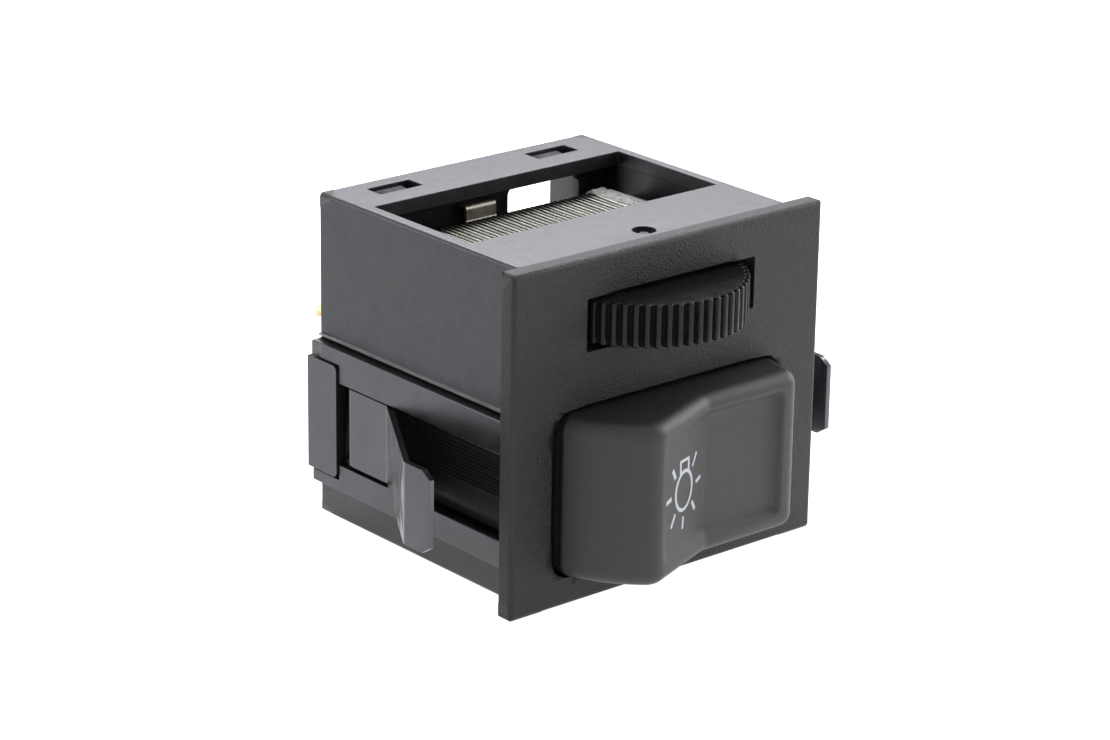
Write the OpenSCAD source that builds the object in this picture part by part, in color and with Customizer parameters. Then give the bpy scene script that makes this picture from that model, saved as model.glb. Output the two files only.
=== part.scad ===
// Headlight switch for a dashboard: bezel, two-step rocker, thumbwheel dimmer and spring clips.
// Millimetres, +Z up, the bezel faces -Y. The origin is under the middle of the whole part.

/* [Bezel] */
// Width of the bezel
bezel_w = 52; // [51.6:0.2:54]
// Height of the bezel
bezel_h = 45.6; // [45.6:0.2:47]
// Thickness of the bezel
bezel_t = 2.4; // [2.2:0.1:2.6]
// Width of the rocker's hole
hole_w = 38.7; // [38.6:0.1:39]
// Height of the rocker's hole
hole_h = 22.5; // [22.5:0.1:23]
// Height of the middle of the rocker's hole
hole_z = 15; // [15:0.05:15.2]
// Width of the thumbwheel's slot
slot_w = 28.3; // [27:0.1:30]
// Height of the thumbwheel's slot
slot_h = 7; // [6.6:0.1:7.4]

/* [Body] */
// Width of the moulded body behind the bezel
body_w = 45.4; // [45.2:0.1:45.8]
// Distance from the bezel's front face to the rear edge of the body
body_d = 43.5; // [43.4:0.1:43.8]
// Thickness of the side walls
wall = 1.5; // [1.4:0.1:1.6]
// Thickness of the deck on top
deck_t = 2; // [1.8:0.1:2.1]
// How far each side frame stands out of the side wall
frame_rise = 1.45; // [1.3:0.05:1.6]
// Length of the deck window, front to back
window_d = 19.5; // [18:0.5:19.5]

/* [Rocker] */
// Radius of the rocker's ends about its pivot
rocker_r = 19.25; // [19:0.05:19.3]
// How far the crest stands out of the bezel
crest_reach = 10.4; // [9.8:0.1:10.6]
// How far the finger pad stands out of the bezel
pad_reach = 6.1; // [5.6:0.1:6.4]
// Depth of the dish in the finger pad
dish_depth = 0.8; // [0.5:0.1:1]
// Rounding of the rocker's edges
edge_r = 2; // [1.8:0.1:2.1]

/* [Thumbwheel] */
// Radius of the thumbwheel over its ribs
wheel_r = 13.6; // [13.4:0.1:13.8]
// Thickness of the thumbwheel
wheel_t = 5.7; // [5.6:0.1:5.8]
// Number of ribs on the thumbwheel
ribs = 60; // [48:2:64]

/* [Resistor] */
// Number of turns of resistance wire
turns = 34; // [28:1:36]
// Diameter of the resistance wire
wire_d = 0.44; // [0.4:0.02:0.46]

/* [Clips and blades] */
// Thickness of the spring steel clips
clip_t = 0.8; // [0.6:0.1:0.8]
// Half the width over the tips of the clips
clip_reach = 34.5; // [33:0.5:35]
// Distance from the bezel's front face to the ends of the blades
blade_end = 51.4; // [50.4:0.2:52.4]
// Width of a blade
blade_w = 6.3; // [6.3:0.1:6.4]
// Thickness of a blade
blade_t = 0.8; // [0.8:0.05:0.85]

/* [Hidden] */
$fn = 48;

black = "#26272a";
dark_black = "#1c1d1f";
steel = "#8d9096";
spring_grey = "#5f6164";
brass = "#c8a556";
bronze = "#b07a45";
ceramic = "#b9b19c";

eps = 0.01;

// All places below are drawn with y = 0 on the bezel's front face and then moved by front_y
front_y = -(blade_end - crest_reach) / 2;

// Body
body_half = body_w / 2;
body_foot = 0.6;
body_top = bezel_h - 0.5;
deck_z = body_top - deck_t;
chamber_half = body_half - wall;
floor_z = body_foot + wall;
partition_z = 28;
partition_t = 1.5;
dimmer_floor = partition_z + partition_t;
lower_half = 20.4;
cover_y = 37.5;
window_y = 14.8;
window_half = 20.85;
tongue_x = 13.4;
tongue_w = 7;
tongue_y0 = 38.1;
tongue_y1 = 41.1;

// Side frames, with the window that holds a clip in each
frame_x = body_half + frame_rise;
frame_z0 = 5.5;
frame_z1 = 25.2;
recess_y = 37.9;
recess_z0 = 9.2;
recess_z1 = 20.6;
recess_deep = 21.4;
cheek_foot = 23.2;
cheek_lip = 0.8;
arm_x = frame_x + 0.3;
arm_z0 = 7.4;
arm_z1 = 23;

// Rocker, with its pivot on a vertical pin
pivot_y = 5.15;
rocker_gap = 0.45;
rocker_z0 = hole_z - hole_h / 2 + rocker_gap;
rocker_z1 = hole_z + hole_h / 2 - rocker_gap;
rocker_wall = 1.7;
valley_x = 1.4;
pad_end_x = 15.3;
skirt_y = 10.5;
axle_r = 1.25;
hub_r = 3.2;
running_gap = 0.05;

// Detent, three notches on an arc about the pivot
detent_z = 20;
cam_r = 19;
cam_t = 2.5;
detent_step = 9;
notch_r = 1.8;
notch_depth = 0.65;
plunger_r = 2;
nose_r = 1.6;
plunger_back = 13.6;
spring_back = 9.4;

// Contact slide and its drive
finger_reach = 18;
finger_r = 1.5;
finger_t = 1.9;
finger_z0 = 6.5;
finger_z1 = 13.5;
slide_x0 = -11.5;
slide_x1 = 8.5;
slide_y0 = 28.2;
slide_y1 = 35.8;
slide_z0 = 4.25;
slide_z1 = 26.6;
bridge_x = -5.5;
bridge_w = 3.2;
upper_bridge = [16.4, 24.4];
lower_bridge = [4.9, 12.5];
rail_y = 36.7;
contact_gap = 0.05;
bridge_t = 0.6;
bump_r = 0.9;

// Blades: columns, rows and the contact plates behind them
column_x = [-15.6, -5.2, 5.2, 15.6];
upper_row = 26.1;
lower_row = 13.7;

// Thumbwheel and dimmer
wheel_y = 5.65;
wheel_z = 33.9;
wheel_pin_r = 1.25;
wiper_t = 0.35;
ring_r = 3.1;
ring_bore = 1.75;
boss_h = 3.5;
former_y0 = 20.7;
former_y1 = 32.6;
former_z0 = 37.4;
former_z1 = 40.8;
wound_half = 14.3;
collar_half = 17;
tenon_half = 19;

// Helpers

module in_place() translate([0, front_y, 0]) children();

// An outline in x and z, extruded from y0 to y1
module across(y0, y1) translate([0, y1, 0]) rotate([90, 0, 0]) linear_extrude(y1 - y0) children();

// An outline in y and z, extruded from x0 to x1
module along(x0, x1) translate([x0, 0, 0]) rotate([90, 0, 90]) linear_extrude(x1 - x0) children();

module block(x0, x1, y0, y1, z0, z1) translate([x0, y0, z0]) cube([x1 - x0, y1 - y0, z1 - z0]);

module both_sides() {
    children();
    mirror([1, 0, 0]) children();
}

module rounded_rect(w, h, r) {
    square([w - 2 * r, h], center = true);
    square([w, h - 2 * r], center = true);
    for (x = [-1, 1], y = [-1, 1])
        translate([x * (w / 2 - r), y * (h / 2 - r)]) circle(r = r);
}

function unit(v) = v / norm(v);
function turned(v, a) = [v.x * cos(a) - v.y * sin(a), v.x * sin(a) + v.y * cos(a)];
function polar(r, a) = [r * cos(a), r * sin(a)];

// Points of the arc of radius r that rounds the corner b between a and c
function corner(a, b, c, r, n = 5) =
    let (u = unit(a - b), v = unit(c - b), half = acos(u * v) / 2,
         centre = b + unit(u + v) * r / sin(half), start = b + u * r / tan(half) - centre,
         side = u.x * v.y - u.y * v.x > 0 ? -1 : 1)
    [for (i = [0:n]) centre + turned(start, side * (180 - 2 * half) * i / n)];

// A polyline with every inner corner rounded
function rounded_path(p, r) = [
    p[0],
    for (i = [1:len(p) - 2]) each corner(p[i - 1], p[i], p[i + 1], r),
    p[len(p) - 1]
];

// The points of a path moved sideways by d, with mitred corners
function beside(p, d) = [
    for (i = [0:len(p) - 1])
        let (a = i == 0 ? unit(p[1] - p[0]) : unit(p[i] - p[i - 1]),
             b = i == len(p) - 1 ? a : unit(p[i + 1] - p[i]),
             m = unit(a + b))
        p[i] + [-m.y, m.x] * d / (m * a)
];

function reversed(p) = [for (i = [len(p) - 1:-1:0]) p[i]];

// A sheet strip of thickness t along a path
module strip(path, t) polygon(concat(beside(path, t / 2), reversed(beside(path, -t / 2))));

// A round wire of radius r along points p, with the outward directions d
module wire(p, d, r, sides = 6) {
    n = len(p);
    points = [
        for (i = [0:n - 1], k = [0:sides - 1])
            let (t = unit(p[min(i + 1, n - 1)] - p[max(i - 1, 0)]), a = 360 * k / sides)
            p[i] + r * (cos(a) * d[i] + sin(a) * cross(t, d[i]))
    ];
    walls = [
        for (i = [0:n - 2], k = [0:sides - 1])
            let (m = (k + 1) % sides, a = i * sides)
            each [[a + k, a + m, a + sides + m], [a + k, a + sides + m, a + sides + k]]
    ];
    ends = [[for (k = [sides - 1:-1:0]) k], [for (k = [0:sides - 1]) (n - 1) * sides + k]];
    polyhedron(points, concat(walls, ends), convexity = 10);
}

// A coil spring along +Y from y0 to y1
module spring(y0, y1, r, wire_r, coils, per_turn = 12) {
    steps = coils * per_turn;
    turn = [for (i = [0:steps]) 360 * i / per_turn];
    wire(
        [for (i = [0:steps])
            [r * cos(turn[i]), y0 + wire_r + (y1 - y0 - 2 * wire_r) * i / steps, r * sin(turn[i])]],
        [for (a = turn) [cos(a), 0, sin(a)]],
        wire_r
    );
}

// Housing

module bezel_plate() {
    bevel = 0.4;
    hull() {
        across(bevel, bezel_t) translate([0, bezel_h / 2]) rounded_rect(bezel_w, bezel_h, 0.5);
        across(0, bevel) translate([0, bezel_h / 2])
            square([bezel_w - 2 * bevel, bezel_h - 2 * bevel], center = true);
    }
}

// The side frame on the right, its ledge and the thin lip above the ledge
module side_frame() {
    lip = 0.35;
    block(body_half - eps, frame_x, bezel_t, body_d, frame_z0, frame_z1);
    block(body_half - eps, body_half + lip, bezel_t, body_d, frame_z1 - eps, frame_z1 + 2 * lip);
}

// The recess behind the right frame's window: a cheek that curves inwards to the top, with fine ribs
module side_recess() {
    cheek_z = recess_z0 + cheek_lip;
    cheek_h = recess_z1 - cheek_z;
    cheek = [
        for (a = [0:10:90])
            [recess_deep + (cheek_foot - recess_deep) * cos(a), cheek_z + cheek_h * sin(a)]
    ];
    across(bezel_t, recess_y) difference() {
        union() {
            polygon(concat([[frame_x + 1, cheek_z]], cheek, [[frame_x + 1, recess_z1]]));
            translate([recess_deep, recess_z0]) square([frame_x + 1 - recess_deep, cheek_lip + eps]);
        }
        for (h = [4.4:0.45:cheek_h - 1])
            translate([recess_deep + (cheek_foot - recess_deep) * cos(asin(h / cheek_h)), cheek_z + h])
                circle(r = 0.11, $fn = 8);
    }
}

// The pad under the foot of the right clip
module clip_seat() {
    block(recess_deep - eps, frame_x - clip_t, 27.8, 35.3, recess_z0 + 1, recess_z1 - 1);
}

module resistor_seat() {
    top = former_z0 + 2;
    block(collar_half + 0.2, chamber_half + eps, former_y0 + 0.8, former_y1 - 0.8, dimmer_floor - eps,
          former_z0);
    for (y = [former_y0 + 0.8, former_y1 - 1.9])
        block(collar_half + 0.2, chamber_half + eps, y, y + 1.1, former_z0 - eps, top);
}

module cam_lugs() {
    for (a = [90 - 30, 90 + 11])
        translate([0, pivot_y, detent_z - 3.5]) rotate(a)
            translate([cam_r, -0.8, 0]) cube([cam_t, 1.6, partition_z + eps - detent_z + 3.5]);
}

module housing_outside() {
    bezel_plate();
    across(bezel_t - eps, body_d) translate([0, (body_top + body_foot) / 2])
        rounded_rect(body_w, body_top - body_foot, 0.6);
    both_sides() side_frame();
}

module housing_cuts() {
    // Switch chamber, dimmer chamber and the seat of the rear cover
    block(-lower_half, lower_half, bezel_t, cover_y, floor_z, partition_z);
    block(-chamber_half, chamber_half, bezel_t, cover_y + eps, dimmer_floor, deck_z);
    block(-chamber_half, chamber_half, cover_y - 0.1, body_d + 1, floor_z, deck_z);
    // Hole of the rocker and slot of the thumbwheel
    across(-1, bezel_t + eps) translate([0, hole_z]) rounded_rect(hole_w, hole_h, 3);
    across(-1, bezel_t + eps) translate([0, wheel_z + wheel_t / 2 + 0.05])
        rounded_rect(slot_w, slot_h, 0.3);
    // Window and latch slots in the deck
    block(-window_half, window_half, window_y, window_y + window_d, deck_z - eps, body_top + 1);
    for (x = [-tongue_x, tongue_x])
        block(x - tongue_w / 2, x + tongue_w / 2, tongue_y0, tongue_y1, deck_z - eps, body_top + 1);
    both_sides() {
        side_recess();
        // Slot for the inner leg of the clip
        block(recess_deep, frame_x + 1, 35.6, 36.6, 9.3, 20.5);
        block(body_half, frame_x + 1, recess_y - 0.1, body_d + 1, arm_z0 - 0.3, arm_z1 + 0.15);
    }
}

module housing() color(black) in_place() difference() {
    boss_r = 3;
    union() {
        difference() {
            housing_outside();
            housing_cuts();
        }
        both_sides() {
            clip_seat();
            resistor_seat();
        }
        cam_lugs();
        translate([0, pivot_y, floor_z - eps]) cylinder(r = boss_r, h = rocker_z0 - 0.3 - floor_z);
        translate([0, pivot_y, rocker_z1 + 0.3]) cylinder(r = boss_r, h = partition_z - rocker_z1);
        translate([0, wheel_y, dimmer_floor - eps]) cylinder(r = ring_r + 0.4, h = boss_h);
    }
    // Pin of the rocker, put in from below, and pin of the wheel, put in through the deck
    translate([0, pivot_y, -1]) cylinder(r = axle_r, h = 1 + partition_z - 0.8);
    translate([0, wheel_y, partition_z + 0.6]) cylinder(r = wheel_pin_r, h = body_top);
    translate([0, wheel_y, body_top - 0.9]) cylinder(r = 1.6, h = 2);
    // Nick in the left edge of the bezel, left by the mould
    block(-bezel_w / 2 - 1, -bezel_w / 2 + 0.3, bezel_t - 0.35, bezel_t + 1, 42.4, 43.2);
}

// Rear cover

module cover_guides() {
    guide_half = 17;
    lip = 1.1;
    block(-guide_half, guide_half, slide_y0 - 1.2, cover_y + eps, floor_z + 0.2, slide_z0 - 0.15);
    block(-guide_half, guide_half, slide_y0 - 1.2, slide_y0 - 0.1, floor_z + 0.2, slide_z0 + lip);
    block(-guide_half, guide_half, slide_y0 - 1.2, cover_y + eps, slide_z1 + 0.15, partition_z - 0.1);
    block(-guide_half, guide_half, slide_y0 - 1.2, slide_y0 - 0.1, slide_z1 - lip, partition_z - 0.1);
}

// Snap arm on the right, hooked round the end of the side wall
module cover_arm() {
    back = body_d + 0.6;
    root_x = chamber_half - 0.1 - wall;
    block(root_x, chamber_half - 0.1, body_d - 1, back, arm_z0, arm_z1);
    block(root_x, arm_x, body_d + 0.1, back, arm_z0, arm_z1);
    along(body_half + 0.1, arm_x) translate([(recess_y + back) / 2, (arm_z0 + arm_z1) / 2])
        rounded_rect(back - recess_y, arm_z1 - arm_z0, 0.8);
}

// Latch tongue in the deck slot at x, shorter than the slot on its right
module cover_tongue(x) {
    root_z = deck_z - 0.1;
    along(x - tongue_w / 2 + 0.2, x + tongue_w / 2 - 1.6)
        polygon([[tongue_y0 + 0.2, root_z - 1], [tongue_y1 - 0.2, root_z - 1],
                 [tongue_y1 - 0.2, root_z + 1.65], [tongue_y0 + 1, root_z + 1.5],
                 [tongue_y0 + 0.2, root_z + 0.5]]);
}

aperture_x = [4.1, 16.6];
aperture_z = [31.5, 42.2];

module aperture_outline(grow) {
    translate([(aperture_x[0] + aperture_x[1]) / 2, (aperture_z[0] + aperture_z[1]) / 2])
        rounded_rect(aperture_x[1] - aperture_x[0] + 2 * grow,
                     aperture_z[1] - aperture_z[0] + 2 * grow, 1.2 + grow);
}

module rear_cover() color(dark_black) in_place() difference() {
    plate_t = 1.8;
    side = chamber_half - 0.1;
    z0 = floor_z + 0.1;
    z1 = deck_z - 0.1;
    union() {
        difference() {
            block(-side, side, cover_y, body_d, z0, z1);
            block(-side + wall, side - wall, cover_y + plate_t, body_d + 1, z0 + wall, z1 - wall);
        }
        intersection() {
            across(cover_y, body_d) aperture_outline(1.2);
            block(-side, side, cover_y, body_d, z0, z1);
        }
        cover_guides();
        both_sides() cover_arm();
        for (x = [-tongue_x, tongue_x]) cover_tongue(x);
        // Ribs round the two rows of blades
        for (z = [upper_row - 3.2, lower_row - 3.2])
            block(-side, side, cover_y + plate_t - eps, body_d - 1, z, z + 1.2);
    }
    across(cover_y - 1, body_d + 1) aperture_outline(0);
    for (x = column_x, z = [upper_row, lower_row])
        across(cover_y - 1, body_d + 1) translate([x, z]) square([blade_w + 0.04, blade_t + 0.04], center = true);
    // Slots for the tail of the collector and the top of the feed strip
    block(6.4, 9.6, cover_y - 1, cover_y + plate_t + 1, dimmer_floor - 0.05, dimmer_floor + 0.45);
    block(-4.6, 0.7, cover_y - 1, cover_y + plate_t + 1, 41.3, 41.85);
}

// Rocker

function on_pivot(r, a) = [0, pivot_y] + polar(r, a);

// Angle about the pivot of the point at height y on the circle of radius r, on the right
function side_angle(r, y) = asin((y - pivot_y) / r);

crest_centre_r = rocker_r - edge_r;
crest_angle = 180 - side_angle(crest_centre_r, edge_r - crest_reach);
slope_angle = asin((crest_reach - pad_reach) / 13.4);

// Centres of the rounding, from the left end over the crest to the foot of the slope
left_centres = concat(
    [for (i = [0:5]) on_pivot(crest_centre_r, 180 + (crest_angle - 180) * i / 5)],
    [[valley_x + 1.6, -pad_reach + edge_r + 0.7]]
);
// Centres of the rounding of the pad and the right end
right_centres = concat(
    [[valley_x - 2.4, -pad_reach + edge_r], [pad_end_x, -pad_reach + edge_r]],
    [for (i = [0:5]) on_pivot(crest_centre_r,
        side_angle(crest_centre_r, -pad_reach + edge_r) * (5 - i) / 5
        + side_angle(crest_centre_r, skirt_y) * i / 5)]
);

module rounded_body(centres) {
    hull() for (c = centres, z = [rocker_z0 + edge_r, rocker_z1 - edge_r])
        translate([c.x, c.y, z]) sphere(r = edge_r, $fn = 30);
}

// Plan of the space inside the rocker
module rocker_inside() {
    r = rocker_r - rocker_wall;
    crest_a = 180 - side_angle(r, rocker_wall + 0.4 - crest_reach);
    polygon(concat(
        [on_pivot(r, 150)],
        [for (i = [0:6]) on_pivot(r, 180 + (crest_a - 180) * i / 6)],
        [[valley_x, rocker_wall + dish_depth - pad_reach],
         [pad_end_x - 1, rocker_wall + dish_depth - pad_reach]],
        [for (i = [0:6]) on_pivot(r, side_angle(r, rocker_wall + 1 - pad_reach) * (1 - i / 6)
            + side_angle(r, skirt_y + 2) * i / 6)]
    ));
}

// The dish: a shallow tapered pocket in the pad that runs out up the slope
module dish() {
    end_x = 12.3;
    zs = [hole_z - 6, hole_z + 6];
    hull() for (x = [valley_x + 0.4, end_x], z = zs)
        translate([x, dish_depth - pad_reach, z]) rotate([90, 0, 0]) cylinder(r1 = 1.4, r2 = 3, h = 2);
    hull() {
        for (z = zs) translate([valley_x + 0.4, dish_depth - pad_reach, z]) rotate([90, 0, 0])
            cylinder(r1 = 1.4, r2 = 3, h = 2);
        for (z = [hole_z - 5, hole_z + 5])
            translate([valley_x - 9.5, -pad_reach - 3.36, z]) rotate([90, 0, 0])
                cylinder(r1 = 1.4, r2 = 3, h = 2);
    }
}

module rocker_shell() {
    difference() {
        union() {
            rounded_body(concat(left_centres, [[-10, pivot_y + 1]]));
            rounded_body(concat(right_centres, [[0, pivot_y + 1]]));
        }
        translate([0, 0, rocker_z0 + rocker_wall])
            linear_extrude(rocker_z1 - rocker_z0 - 2 * rocker_wall) rocker_inside();
        // The open back, cut level with the two skirts
        translate([0, 0, rocker_z0 - 1]) linear_extrude(rocker_z1 - rocker_z0 + 2)
            polygon([[-25, pivot_y - 0.2], [-4, pivot_y - 0.2], [6, pivot_y + 2], [25, skirt_y - 0.6],
                     [25, 30], [-25, 30]]);
        dish();
    }
}

module rocker() color(black) in_place() difference() {
    hub_z0 = rocker_z0;
    hub_h = rocker_z1 - rocker_z0;
    web = 1.6;
    barrel_r = 3;
    union() {
        rocker_shell();
        translate([0, pivot_y, hub_z0]) cylinder(r = hub_r, h = hub_h);
        block(-web / 2, web / 2, -pad_reach + 2, pivot_y, rocker_z0 + 1, rocker_z1 - 1);
        // Finger that drives the contact slide
        block(-finger_t / 2, finger_t / 2, pivot_y, pivot_y + finger_reach, finger_z0, finger_z1);
        translate([0, pivot_y + finger_reach, finger_z0])
            cylinder(r = finger_r, h = finger_z1 - finger_z0);
        // Barrel of the detent plunger
        translate([0, pivot_y, detent_z]) rotate([-90, 0, 0]) cylinder(r = barrel_r, h = 14.8);
    }
    translate([0, pivot_y, hub_z0 - 1]) cylinder(r = axle_r + running_gap, h = hub_h + 2);
    translate([0, spring_back, detent_z]) rotate([-90, 0, 0])
        cylinder(r = plunger_r + running_gap, h = 12);
}

module rocker_axle() color(steel) in_place()
    translate([0, pivot_y, body_foot + 0.3]) rotate_extrude()
        polygon([[0, 0], [axle_r - 0.3, 0], [axle_r, 0.3], [axle_r, 25.9], [axle_r - 0.3, 26.2], [0, 26.2]]);

// Detent

module detent_plunger() color("ivory") in_place()
    translate([0, 0, detent_z]) rotate([-90, 0, 0]) rotate_extrude() {
        nose_y = pivot_y + cam_r - contact_gap - nose_r;
        translate([0, plunger_back - 1]) square([1, 1.1]);
        translate([0, plunger_back]) square([plunger_r, nose_y - 0.9 - plunger_back]);
        translate([0, nose_y - 1]) square([nose_r, 1]);
        intersection() {
            translate([0, nose_y]) circle(r = nose_r);
            translate([0, nose_y - nose_r]) square([nose_r + 1, 2 * nose_r + 1]);
        }
    }

module detent_spring() color(steel) in_place()
    translate([0, 0, detent_z]) spring(spring_back + 0.05, plunger_back - 0.05, 1.4, 0.22, 5);

module detent_cam() color("ivory") in_place() translate([0, pivot_y, detent_z - 3.5]) difference() {
    linear_extrude(partition_z - detent_z + 3.5 - 0.05) difference() {
        circle(r = cam_r + cam_t - 0.05);
        circle(r = cam_r);
        // Only the sector behind the plunger stays, between the two lugs
        polygon([[0, 0], 40 * [cos(98), sin(98)], [-40, 40], [-40, -40], [40, -40], [40, 0],
                 40 * [cos(63), sin(63)]]);
    }
    for (i = [0:2]) rotate(90 - i * detent_step)
        translate([cam_r + notch_depth - notch_r, 0, -1]) cylinder(r = notch_r, h = 8);
}

// Contact slide and bridges

module spring_pocket(z) translate([bridge_x, slide_y0 + 1.4, z]) rotate([-90, 0, 0])
    cylinder(r = 2.1, h = 20);

module contact_slide() color("#c9c4b5") in_place() difference() {
    union() {
        block(slide_x0, slide_x1, slide_y0, slide_y1, slide_z0, slide_z1);
        block(-3.6, 3.6, pivot_y + finger_reach - 2, slide_y0 + eps, finger_z0 - 0.3, finger_z1 + 0.3);
    }
    // Slot for the rocker's finger, open to the front and the top
    block(-finger_r - 0.08, finger_r + 0.08, 20, pivot_y + finger_reach + 2.4, 0, 30);
    for (b = [upper_bridge, lower_bridge]) {
        spring_pocket((b[0] + b[1]) / 2);
        block(bridge_x - bridge_w / 2 - 0.1, bridge_x + bridge_w / 2 + 0.1, slide_y1 - 1.3,
              slide_y1 + 1, b[0] - 0.15, b[1] + 0.15);
    }
    // Lightening pockets on the side away from the bridges
    for (z = [slide_z0 + 1.5, slide_z0 + 12])
        block(1, slide_x1 - 1.5, slide_y0 + 1.5, slide_y1 + 1, z, z + 8.8);
    // Steps that run behind the lips of the guides
    block(slide_x0 - 1, slide_x1 + 1, slide_y0 - 1, slide_y0 + 0.1, slide_z0 - 1, slide_z0 + 0.1);
}

module bridge(span) in_place() {
    back = rail_y - contact_gap - bump_r * 0.5 - bridge_t;
    block(bridge_x - bridge_w / 2, bridge_x + bridge_w / 2, back, back + bridge_t, span[0], span[1]);
    for (z = [span[0] + 1.3, span[1] - 1.3]) intersection() {
        translate([bridge_x, back + bridge_t - bump_r * 0.5, z]) sphere(r = bump_r);
        block(bridge_x - 2, bridge_x + 2, back, rail_y, z - 2, z + 2);
    }
}

module bridge_upper() color(brass) bridge(upper_bridge);
module bridge_lower() color(brass) bridge(lower_bridge);

module bridge_spring(span) color(steel) in_place()
    translate([bridge_x, 0, (span[0] + span[1]) / 2])
        spring(slide_y0 + 1.45, rail_y - contact_gap - bump_r * 0.5 - bridge_t - 0.05, 1.5, 0.2, 6);

module bridge_spring_upper() bridge_spring(upper_bridge);
module bridge_spring_lower() bridge_spring(lower_bridge);

// Blades

// A blade with a bevelled tip and its hole, standing out of the back at column x and height z
module blade(x, z) {
    half = blade_w / 2;
    translate([x, 0, z - blade_t / 2]) linear_extrude(blade_t) difference() {
        polygon([[-half, rail_y], [half, rail_y], [half, blade_end - 1.6], [half - 1.2, blade_end],
                 [1.2 - half, blade_end], [-half, blade_end - 1.6]]);
        translate([0, blade_end - 3.6]) circle(r = 0.9);
    }
}

// A flat contact plate on the cover's inner face
module contact_plate(x0, x1, z0, z1) block(x0, x1, rail_y, cover_y - 0.02, z0, z1);

module plain_terminal(x, z) color(brass) in_place() {
    blade(x, z);
    contact_plate(x - 2, x + 2, z - 4.2, z + blade_t / 2);
}

module rail_terminal(x, z) color(brass) in_place() {
    blade(x, z);
    contact_plate(-10, 1.2, z - 5.1, z + blade_t / 2);
}

// A contact pad below the rail, with its riser to the blade
module pad_terminal(x, z, pad_x) color(brass) in_place() {
    blade(x, z);
    contact_plate(pad_x, 8.2, z - 9.4, z - 6.4);
    contact_plate(3.6, 6.8, z - 6.5, z + blade_t / 2);
}

module terminal_1() plain_terminal(column_x[0], upper_row);
module terminal_2() rail_terminal(column_x[1], upper_row);
module terminal_3() pad_terminal(column_x[2], upper_row, -4.2);
module terminal_4() plain_terminal(column_x[3], upper_row);
module terminal_5() plain_terminal(column_x[0], lower_row);
module terminal_6() rail_terminal(column_x[1], lower_row);
module terminal_7() pad_terminal(column_x[2], lower_row, -1.6);
module terminal_8() plain_terminal(column_x[3], lower_row);

// Thumbwheel

module dimmer_wheel() color(black) in_place() translate([0, wheel_y, wheel_z]) {
    bevel = 0.25;
    rim_in = wheel_r - 2.4;
    difference() {
        rotate_extrude($fn = 120) polygon([
            [wheel_pin_r + running_gap, 0], [hub_r, 0], [hub_r, 3.7], [rim_in, 3.7], [rim_in, 0],
            [wheel_r - bevel, 0], [wheel_r, bevel], [wheel_r, wheel_t - bevel],
            [wheel_r - bevel, wheel_t], [wheel_pin_r + running_gap, wheel_t]
        ]);
        for (i = [0:ribs - 1]) rotate(360 * i / ribs)
            translate([wheel_r - 0.15, 0, -1]) cylinder(r = 0.42, h = wheel_t + 2, $fn = 24);
    }
    // Spokes under the web, and the pegs that hold the wiper
    for (a = [30:60:330]) rotate(a) translate([hub_r - 0.2, -0.6, 1.2])
        cube([rim_in - hub_r + 0.4, 1.2, 2.6]);
    for (x = [-1.2, 1.2]) translate([x, 12.4, -0.7]) cylinder(r = 0.5, h = 1);
}

module wheel_axle() color(steel) in_place()
    translate([0, wheel_y, partition_z + 0.7]) rotate_extrude()
        polygon([[0, 0], [wheel_pin_r - 0.3, 0], [wheel_pin_r, 0.3], [wheel_pin_r, 15.7],
                 [wheel_pin_r - 0.3, 16], [0, 16]]);

// Dimmer contacts

// Bronze leaf under the wheel: a ring round the pin and an arm that rises to the winding
module wiper() color(bronze) in_place() translate([0, wheel_y, 0]) {
    under = wheel_z - wiper_t / 2;
    nose = former_z0 - wire_d - 0.08 - wiper_t / 2;
    difference() {
        union() {
            intersection() {
                along(-3, 3) strip(rounded_path([[2, under], [15.2, under], [18.6, 35.2], [21.6, nose],
                                                 [22.4, nose], [23.4, nose - 0.8]], 0.4), wiper_t);
                linear_extrude(50) polygon([[-2.6, 1], [2.6, 1], [2.6, 13.5], [1.2, 25], [-1.2, 25],
                                            [-2.6, 13.5]]);
            }
            translate([0, 0, wheel_z - wiper_t]) cylinder(r = ring_r, h = wiper_t);
        }
        translate([0, 0, wheel_z - 1]) cylinder(r = ring_bore, h = 2);
        for (x = [-1.2, 1.2]) translate([x, 12.4, wheel_z - 1]) cylinder(r = 0.52, h = 2);
    }
}

// Brass ring on the boss, with a tail down to the floor and back into the rear cover
module collector() color(brass) in_place() {
    ring_top = wheel_z - wiper_t - contact_gap;
    ring_z = dimmer_floor + boss_h - eps;
    tail_x = 8;
    tail_t = 0.4;
    floor_top = dimmer_floor + tail_t;
    translate([0, wheel_y, ring_z]) difference() {
        union() {
            cylinder(r = ring_r, h = ring_top - ring_z);
            translate([2, -1.5, 0]) cube([tail_x - 2 + tail_t, 3, ring_top - ring_z]);
        }
        translate([0, 0, -1]) cylinder(r = ring_bore, h = 3);
    }
    block(tail_x, tail_x + tail_t, wheel_y - 1.5, wheel_y + 1.5, dimmer_floor, ring_top);
    block(tail_x, tail_x + 1.5, wheel_y - 1.5, wheel_y + 1.5, dimmer_floor, floor_top);
    block(tail_x - 1.5, tail_x + 1.5, wheel_y + 1.5 - eps, cover_y + 1.7, dimmer_floor, floor_top);
}

// Resistor

module bar(x0, x1, y0, y1, z0, z1, r)
    along(x0, x1) translate([(y0 + y1) / 2, (z0 + z1) / 2]) rounded_rect(y1 - y0, z1 - z0, r);

// Centres of the former's rounded corners and the angle at which each starts
former_r = 1.5;
former_corners = [
    [former_y1 - former_r, former_z1 - former_r, 0], [former_y0 + former_r, former_z1 - former_r, 90],
    [former_y0 + former_r, former_z0 + former_r, 180], [former_y1 - former_r, former_z0 + former_r, 270]
];

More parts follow.
